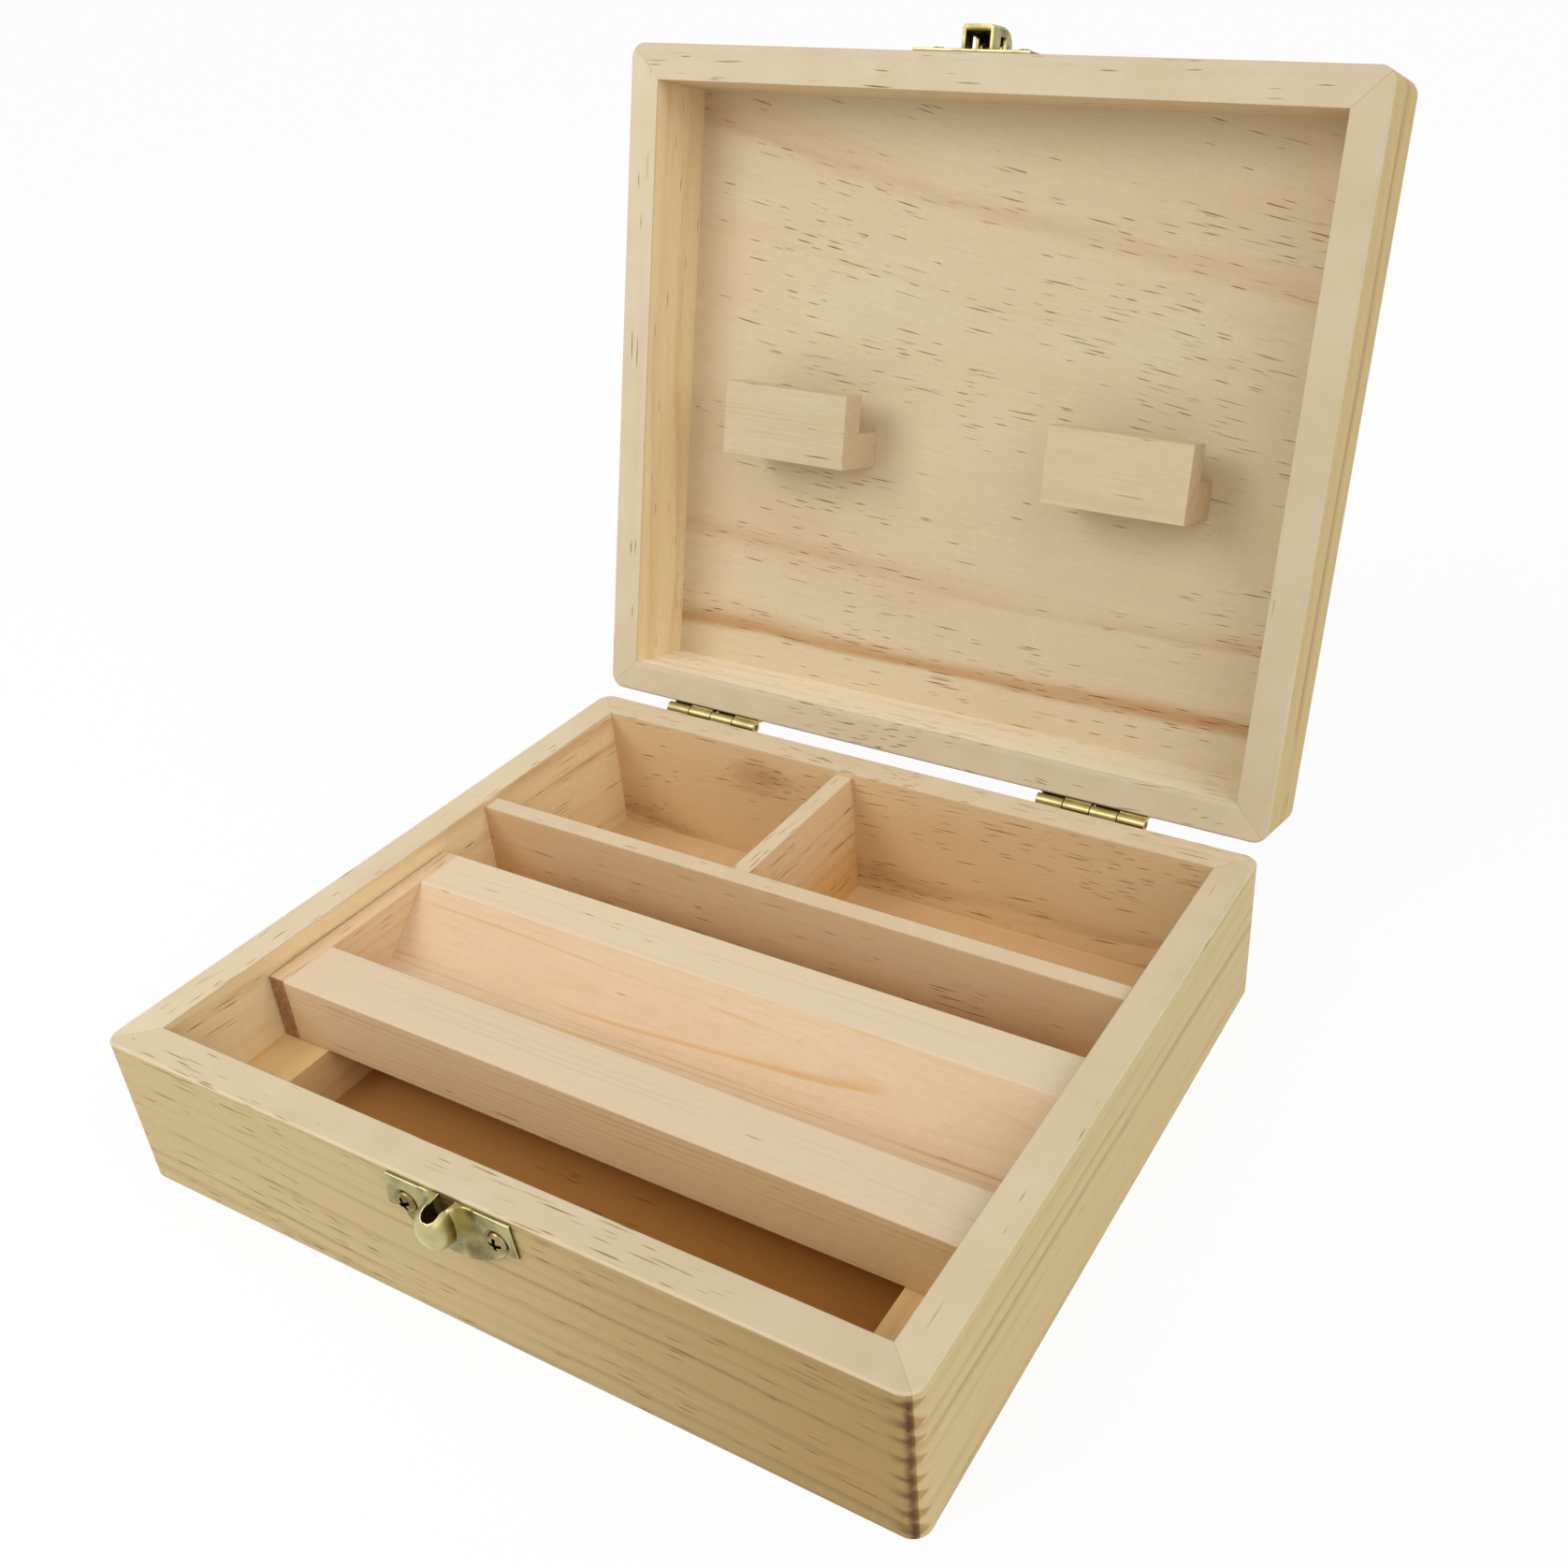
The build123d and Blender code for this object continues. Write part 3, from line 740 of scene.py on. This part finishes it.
# The lid back board's pale colour is painted light for its shaded inner face.
dress(
    pine(
        "pine_lid_back_wall", (248, 236, 210), (190, 146, 98), "X", (60.0, 96.0), 5.6,
        lean=(0.0, -0.03), wave=2.0, figure=0.45, dashes=2.0, blush=0.0, seed=14.8, swung=True,
        faces=lid_back_lit_faces,
    ),
    "lid_back_wall",
)
dress(
    pine(
        "pine_lid_left_wall", (238, 220, 176), (204, 162, 104), "Y", (-140.0, 70.0), 4.6,
        wave=0.7, figure=0.5, dashes=0.25, blush=0.15, seed=15.9, swung=True, faces=lid_faces,
    ),
    "lid_left_wall",
)

# Lid board. A thin wide board let into the lid's walls. Its grain falls to the right, with a few
# strong rings and drifts of open resin canals.

dress(
    pine(
        "pine_lid_board", (216, 199, 166), (182, 134, 78), "X", (-12.0, 318.0), 21.0,
        lean=(-0.09, 0.0), fan=0.0015, wave=0.9, figure=0.22,
        bands=((-54.0, 12.0, 0.32), (-31.0, 6.0, 0.15), (45.0, 9.0, 0.32), (69.0, 7.0, 0.62)),
        dashes=1.25, blush=0.2, seed=16.3, swung=True,
    ),
    "lid_panel",
)

# Clips. Two short sticks with an L-shaped end, glued inside the lid so that thin things slip
# behind them.

dress(
    pine(
        "pine_left_clip", (208, 191, 158), (180, 146, 102), "X", (-90.0, 10.0), 1.2,
        wave=0.3, figure=0.4, dashes=0.15, blush=0.15, seed=17.2, swung=True,
    ),
    "left_clip",
)
dress(
    pine(
        "pine_right_clip", (212, 194, 159), (190, 160, 114), "X", (-20.0, 10.0), 4.8,
        wave=0.5, figure=0.4, dashes=0.15, blush=0.1, seed=18.5, swung=True,
    ),
    "right_clip",
)

# Hinge leaves and pins. Stamped brass-plated steel: each leaf lies on a back wall, its knuckles
# take turns on one pin, and a tail on every knuckle stops the lid when it leans back.


# The brass's spots to a millimetre, grime and painted shade, edge wear and painted highlight, pitting
broad_spots = {"Scale": 0.2, "Detail": 2.0}
fine_spots = {"Scale": 1.6, "Detail": 5.0}
hollow_reach = 3.5 * MM
hollow_samples = 8
# Grime and painted shade: the tint that darkens the brass's hollows.
grime_and_shade_tint = (0.42, 0.29, 0.13)
# Wear and painted highlight: the tone that brightens convex edges.
worn_edge_highlight_tone = srgb(250, 240, 200)
tarnish_roughness = 0.12
spot_roughness = 0.06
bend_radius = 0.18 * MM
pitting_strength = 0.12
pitting_depth = 0.04 * MM


def plated_brass(name, bright, tarnish, polish=0.3, edge_wear_and_highlight=0.0, faces=None):
    """Thin brass plating: bright edges of wear and painted highlight, hollows of grime and painted
    shade.
    """
    material = bpy.data.materials.new(name)
    material.use_nodes = True
    tree = material.node_tree
    shader = tree.nodes["Principled BSDF"]
    start = Wire(tree)
    place = start.node("ShaderNodeTexCoord", out="Object")
    sockets = {"Vector": place, "Scale": (1 / MM,) * 3}
    millimetres = start.node("ShaderNodeMapping", None, sockets)
    broad = start.node("ShaderNodeTexNoise", None, {"Vector": millimetres, **broad_spots})
    fine = start.node("ShaderNodeTexNoise", None, {"Vector": millimetres, **fine_spots})
    open_sky = start.node(
        "ShaderNodeAmbientOcclusion",
        {"samples": hollow_samples},
        {"Distance": hollow_reach},
        out="AO",
    )
    convex = start.node("ShaderNodeNewGeometry", out="Pointiness")
    # Painted shade: the plating is kept dark wherever the hollows close it in.
    bright_wear_unshaded = (broad * 0.9 + fine * 0.1).fade(0.3, 0.68) * open_sky.fade(0.35, 0.95)
    plate = start.mix(bright_wear_unshaded, srgb(*tarnish), srgb(*bright))
    grime_and_shade = start.stain(1 - open_sky.fade(0.1, 0.75), plate, grime_and_shade_tint)
    colour = start.mix(convex.fade(0.51, 0.56) * edge_wear_and_highlight, grime_and_shade, worn_edge_highlight_tone)
    if faces:
        colour = faces(start, colour, millimetres)
    tree.links.new(colour.output, shader.inputs["Base Color"])
    rough = polish + (1 - bright_wear_unshaded) * tarnish_roughness + fine * spot_roughness
    tree.links.new(rough.output, shader.inputs["Roughness"])
    soft_edge = start.node("ShaderNodeBevel", {"samples": bevel_samples}, {"Radius": bend_radius})
    relief = start.node(
        "ShaderNodeBump",
        None,
        {
            "Strength": pitting_strength,
            "Distance": pitting_depth,
            "Height": fine,
            "Normal": soft_edge,
        },
    )
    tree.links.new(relief.output, shader.inputs["Normal"])
    shader.inputs["Metallic"].default_value = 1.0
    return material


hinge_brass = plated_brass("brass_hinges", (186, 170, 118), (162, 145, 97), polish=0.24)
pin_steel = plated_brass("brass_pins", (150, 130, 90), (70, 56, 36))
for side in ("left", "right"):
    dress(hinge_brass, f"{side}_hinge_base_leaf", f"{side}_hinge_lid_leaf")
    dress(pin_steel, f"{side}_hinge_pin")

# Hinge screws. Small round-head screws with a cross recess, two through each leaf into the wall
# behind it.

lid_swing = (
    Matrix.Translation(hinge_line)
    @ Matrix.Rotation(-lid_open_angle, 4, "X")
    @ Matrix.Translation(-hinge_line)
)
screw_brass = plated_brass("brass_screws", (172, 152, 106), (120, 100, 62), polish=0.24)
# Painted shade: the cross recess is coloured dark.
recess_shade = plated_brass("brass_recess_shade", (58, 40, 22), (30, 20, 12), polish=0.5)

# Heads as radius and height, and shanks, in millimetres; the recess is in shares of its head
hinge_head = (1.9, 1.15)
clasp_head = (2.5, 1.2)
recess_length = 1.75
recess_width = 0.44
recess_height = 1.2
recess_level = 0.9
recess_taper = 0.6
cube_bottom = -0.4
shank_root = 0.85
shank_tip = 0.25
shank_length = 6.4
shank_sides = 24
head_sides = 48
head_rings = 24
sharp_edge = math.radians(35)
first_turn = 0.5
next_turn = 1.1


def one_screw(head_radius, head_height, turn):
    """A domed head with a cross recess dark as painted shade, on a pointed shank, standing at the
    origin.
    """
    bpy.ops.object.select_all(action="DESELECT")
    bpy.ops.mesh.primitive_uv_sphere_add(segments=head_sides, ring_count=head_rings, radius=1.0)
    head = bpy.context.object
    head.data.materials.append(screw_brass)
    head.data.materials.append(recess_shade)
    bpy.ops.object.mode_set(mode="EDIT")
    bpy.ops.mesh.select_all(action="SELECT")
    bpy.ops.mesh.bisect(
        plane_co=(0.0, 0.0, 0.0), plane_no=(0.0, 0.0, 1.0), use_fill=True, clear_inner=True
    )
    bpy.ops.mesh.select_all(action="SELECT")
    bpy.ops.transform.resize(value=(head_radius, head_radius, head_height))
    bpy.ops.object.mode_set(mode="OBJECT")
    for quarter in (0, 1):
        bpy.ops.object.select_all(action="DESELECT")
        bpy.ops.mesh.primitive_cube_add(size=1.0)
        slot = bpy.context.object
        slot.data.materials.append(recess_shade)
        bpy.ops.object.mode_set(mode="EDIT")
        bpy.ops.mesh.select_all(action="DESELECT")
        bpy.ops.object.mode_set(mode="OBJECT")
        for face in slot.data.polygons:
            face.select = face.center.z < cube_bottom
        bpy.ops.object.mode_set(mode="EDIT")
        bpy.ops.transform.resize(value=(recess_taper, recess_taper, 1.0))
        bpy.ops.object.mode_set(mode="OBJECT")
        slot.scale = (
            head_radius * recess_length, head_radius * recess_width, head_height * recess_height
        )
        slot.location = (0.0, 0.0, head_height * recess_level)
        slot.rotation_euler = (0.0, 0.0, turn + quarter * math.pi / 2)
        bpy.context.view_layer.update()
        cut = head.modifiers.new("recess", "BOOLEAN")
        cut.operation = "DIFFERENCE"
        cut.material_mode = "TRANSFER"
        cut.object = slot
        bpy.ops.object.select_all(action="DESELECT")
        head.select_set(True)
        bpy.context.view_layer.objects.active = head
        bpy.ops.object.modifier_apply(modifier=cut.name)
        bpy.data.objects.remove(slot)
    bpy.ops.object.select_all(action="DESELECT")
    bpy.ops.mesh.primitive_cone_add(
        vertices=shank_sides,
        radius1=shank_tip,
        radius2=shank_root,
        depth=shank_length,
        location=(0.0, 0.0, -shank_length / 2),
    )
    shank = bpy.context.object
    shank.data.materials.append(screw_brass)
    head.select_set(True)
    bpy.context.view_layer.objects.active = head
    bpy.ops.object.join()
    bpy.ops.object.shade_smooth_by_angle(angle=sharp_edge)
    return head


def screw_row(name, seats, head_radius, head_height, outward, swung, node, body):
    """Like screws in a row, each seated with its own turn of the recess, as one piece."""
    screws = []
    for i, seat in enumerate(seats):
        screw = one_screw(head_radius, head_height, first_turn + i * next_turn)
        stand = Matrix.Translation(seat) @ Matrix.Rotation(math.radians(-90) * outward, 4, "X")
        screw.matrix_world = (lid_swing if swung else Matrix()) @ stand @ Matrix.Scale(MM, 4)
        screws.append(screw)
    bpy.ops.object.select_all(action="DESELECT")
    for screw in screws:
        screw.select_set(True)
    bpy.context.view_layer.objects.active = screws[0]
    bpy.ops.object.transform_apply(location=True, rotation=True, scale=True)
    bpy.ops.object.join()
    row = bpy.context.object
    row.name = name
    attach(row, body)
    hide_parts(node)


hinge_screw_inset = 6.2 * MM
hinge_screw_drop = 6.6 * MM
hinge_leaf_thickness = 0.9 * MM
facing_back = 1
facing_front = -1
hinge_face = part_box("back_wall")[1].y + hinge_leaf_thickness
hinge_seat_x = []
for side in ("left", "right"):
    leaf_low, leaf_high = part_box(f"{side}_hinge_base_leaf")
    hinge_seat_x += [leaf_low.x + hinge_screw_inset, leaf_high.x - hinge_screw_inset]
base_seats = [Vector((x, hinge_face, hinge_line.z - hinge_screw_drop)) for x in hinge_seat_x]
lid_seats = [Vector((x, hinge_face, hinge_line.z + hinge_screw_drop)) for x in hinge_seat_x]
screw_row(
    "round_screws_hinge_base", base_seats, *hinge_head, facing_back, False,
    "hinge_base_screws", "base",
)
screw_row(
    "round_screws_hinge_lid", lid_seats, *hinge_head, facing_back, True,
    "hinge_lid_screws", "lid",
)

# Catch. Pressed from thin brass-plated sheet: a bracket-shaped plate below the base's rim with a
# hollow nose in its middle, and a dimple for each screw.

clasp_look = {"bright": (176, 164, 112), "tarnish": (124, 112, 68), "polish": 0.2, "edge_wear_and_highlight": 0.6}
clasp_brass = plated_brass("brass_clasp", **clasp_look)
clasp_sheet = 0.8 * MM
nose_centre_drop = 4.5 * MM
nose_x = (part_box("catch_plate")[0].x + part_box("catch_plate")[1].x) / 2
nose_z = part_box("catch_plate")[1].z - nose_centre_drop
plate_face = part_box("front_wall")[0].y - clasp_sheet
# Painted reflection: the plate's right foot is browned; painted highlight: the nose is brightened.
foot_reflection_tint = (0.58, 0.46, 0.22)
foot_reflection_cover = 0.8
nose_highlight_tone = srgb(224, 210, 156)
nose_highlight_cover = 0.5


def catch_faces(start, colour, millimetres):
    """The nose is bright as a painted highlight, and the plate's right foot browner as a painted
    reflection.
    """
    x = start.node("ShaderNodeSeparateXYZ", None, {"Vector": millimetres}, out="X")
    proud = plate_face / MM - x.other("Y")
    right = x - nose_x / MM
    foot = right.fade(2.2, 4.0) * (1 - right.fade(5.0, 9.5)) * (1 - proud.fade(2.0, 5.0))
    shade_browned = start.stain(foot * foot_reflection_cover, colour, foot_reflection_tint)
    return start.mix(proud.fade(2.0, 6.0) * nose_highlight_cover, shade_browned, nose_highlight_tone)


catch_brass = plated_brass("brass_catch", **clasp_look, faces=catch_faces)

# How near points are welded, the size of the voxels, and how often and how far points are smoothed
weld_reach = 0.002 * MM
plate_voxel = 0.16 * MM
hood_voxel = 0.12 * MM
catch_rounds = 6
lid_rounds = 4
smooth_factor = 0.5


def pressed_copy(name, node, brass, voxel, rounds, body):
    """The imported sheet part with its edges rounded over, as on a pressed and tumbled part."""
    bpy.ops.object.select_all(action="DESELECT")
    piece = bpy.data.objects.new(name, frame["nodes"][node].data.copy())
    bpy.context.scene.collection.objects.link(piece)
    piece.select_set(True)
    bpy.context.view_layer.objects.active = piece
    bpy.ops.object.mode_set(mode="EDIT")
    bpy.ops.mesh.select_all(action="SELECT")
    bpy.ops.mesh.remove_doubles(threshold=weld_reach)
    bpy.ops.object.mode_set(mode="OBJECT")
    remesh = piece.modifiers.new("sheet", "REMESH")
    remesh.mode = "VOXEL"
    remesh.voxel_size = voxel
    bpy.ops.object.modifier_apply(modifier=remesh.name)
    soften = piece.modifiers.new("tumbled", "SMOOTH")
    soften.iterations = rounds
    soften.factor = smooth_factor
    bpy.ops.object.modifier_apply(modifier=soften.name)
    bpy.ops.object.shade_smooth()
    piece.data.materials.clear()
    piece.data.materials.append(brass)
    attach(piece, body)
    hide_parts(node)
    return piece


catch = pressed_copy("pressed_catch", "catch_plate", catch_brass, plate_voxel, catch_rounds, "base")

# The nose's right flank is drawn in after the photograph; the imported nose is symmetrical
pinch_start = 1.6 * MM
pinch_share = 0.45
pinch_low = 0.1 * MM
pinch_high = 1.8 * MM
for point in catch.data.vertices:
    proud = plate_face - point.co.y
    beyond = max(0.0, point.co.x - nose_x - pinch_start)
    weight = min(1.0, max(0.0, (proud - pinch_low) / (pinch_high - pinch_low)))
    point.co.x -= beyond * pinch_share * weight

# Its foot is smoothed into the plate
foot_inner = 4.6 * MM
foot_outer = 8.4 * MM
foot_low = -0.5 * MM
foot_high = 2.6 * MM
foot_rounds = 40
for point in catch.data.vertices:
    away = math.hypot(point.co.x - nose_x, point.co.z - nose_z)
    proud = plate_face - point.co.y
    point.select = foot_inner < away < foot_outer and foot_low < proud < foot_high
for face in catch.data.polygons:
    face.select = all(catch.data.vertices[i].select for i in face.vertices)
bpy.ops.object.mode_set(mode="EDIT")
bpy.ops.mesh.vertices_smooth(factor=smooth_factor, repeat=foot_rounds)
bpy.ops.object.mode_set(mode="OBJECT")

# Round dimples are pressed in under its two screws
screws_low, screws_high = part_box("catch_screws")
clasp_head_radius = (screws_high.z - screws_low.z) / 2
clasp_seat_x = [screws_low.x + clasp_head_radius, screws_high.x - clasp_head_radius]
catch_seats = [Vector((x, plate_face, screws_low.z + clasp_head_radius)) for x in clasp_seat_x]
dimple_floor = 2.6 * MM
dimple_rim = 3.5 * MM
dimple_depth = 0.5 * MM
front_side = 0.3 * MM
for point in catch.data.vertices:
    for seat in catch_seats:
        away = math.hypot(point.co.x - seat.x, point.co.z - seat.z)
        if away < dimple_rim and point.co.y < plate_face + front_side:
            rise = max(0.0, (away - dimple_floor) / (dimple_rim - dimple_floor))
            point.co.y += dimple_depth * (0.5 + 0.5 * math.cos(math.pi * rise))

# Catch screws. Two round-head screws with a cross recess, sunk in the dimples, hold the catch to
# the front wall.

sunk_share = 0.8
sunk_seats = [seat + Vector((0.0, dimple_depth * sunk_share, 0.0)) for seat in catch_seats]
screw_row(
    "round_screws_catch", sunk_seats, *clasp_head, facing_front, False,
    "catch_screws", "base",
)

# Hasp plate and pin. The lid's half of the clasp: the same bracket-shaped plate the other way up,
# with two ears bent out of it, and the pin on which the hood turns.

pressed_copy("pressed_hasp_plate", "hasp_plate", clasp_brass, plate_voxel, lid_rounds, "lid")
dress(pin_steel, "hasp_pin")

# Hasp screws. Two more of the clasp's screws, driven through the hasp plate into the lid's front
# wall.

clasp_edge_gap = 0.9
clasp_screw_drop = 6.4
hasp_seat_z = (lid_rim_shut + clasp_edge_gap + clasp_screw_drop) * MM
hasp_seats = [Vector((x, plate_face, hasp_seat_z)) for x in clasp_seat_x]
screw_row(
    "round_screws_hasp", hasp_seats, *clasp_head, facing_front, True,
    "hasp_screws", "lid",
)

# Hood. The lid's lever: a hollow pressed hood with a rolled lip across its mouth and a notch in
# each cheek. With the lid shut it stays above the catch's nose and doesn't reach it.

pressed_copy("pressed_hood", "hasp_hood", clasp_brass, hood_voxel, lid_rounds, "hood")
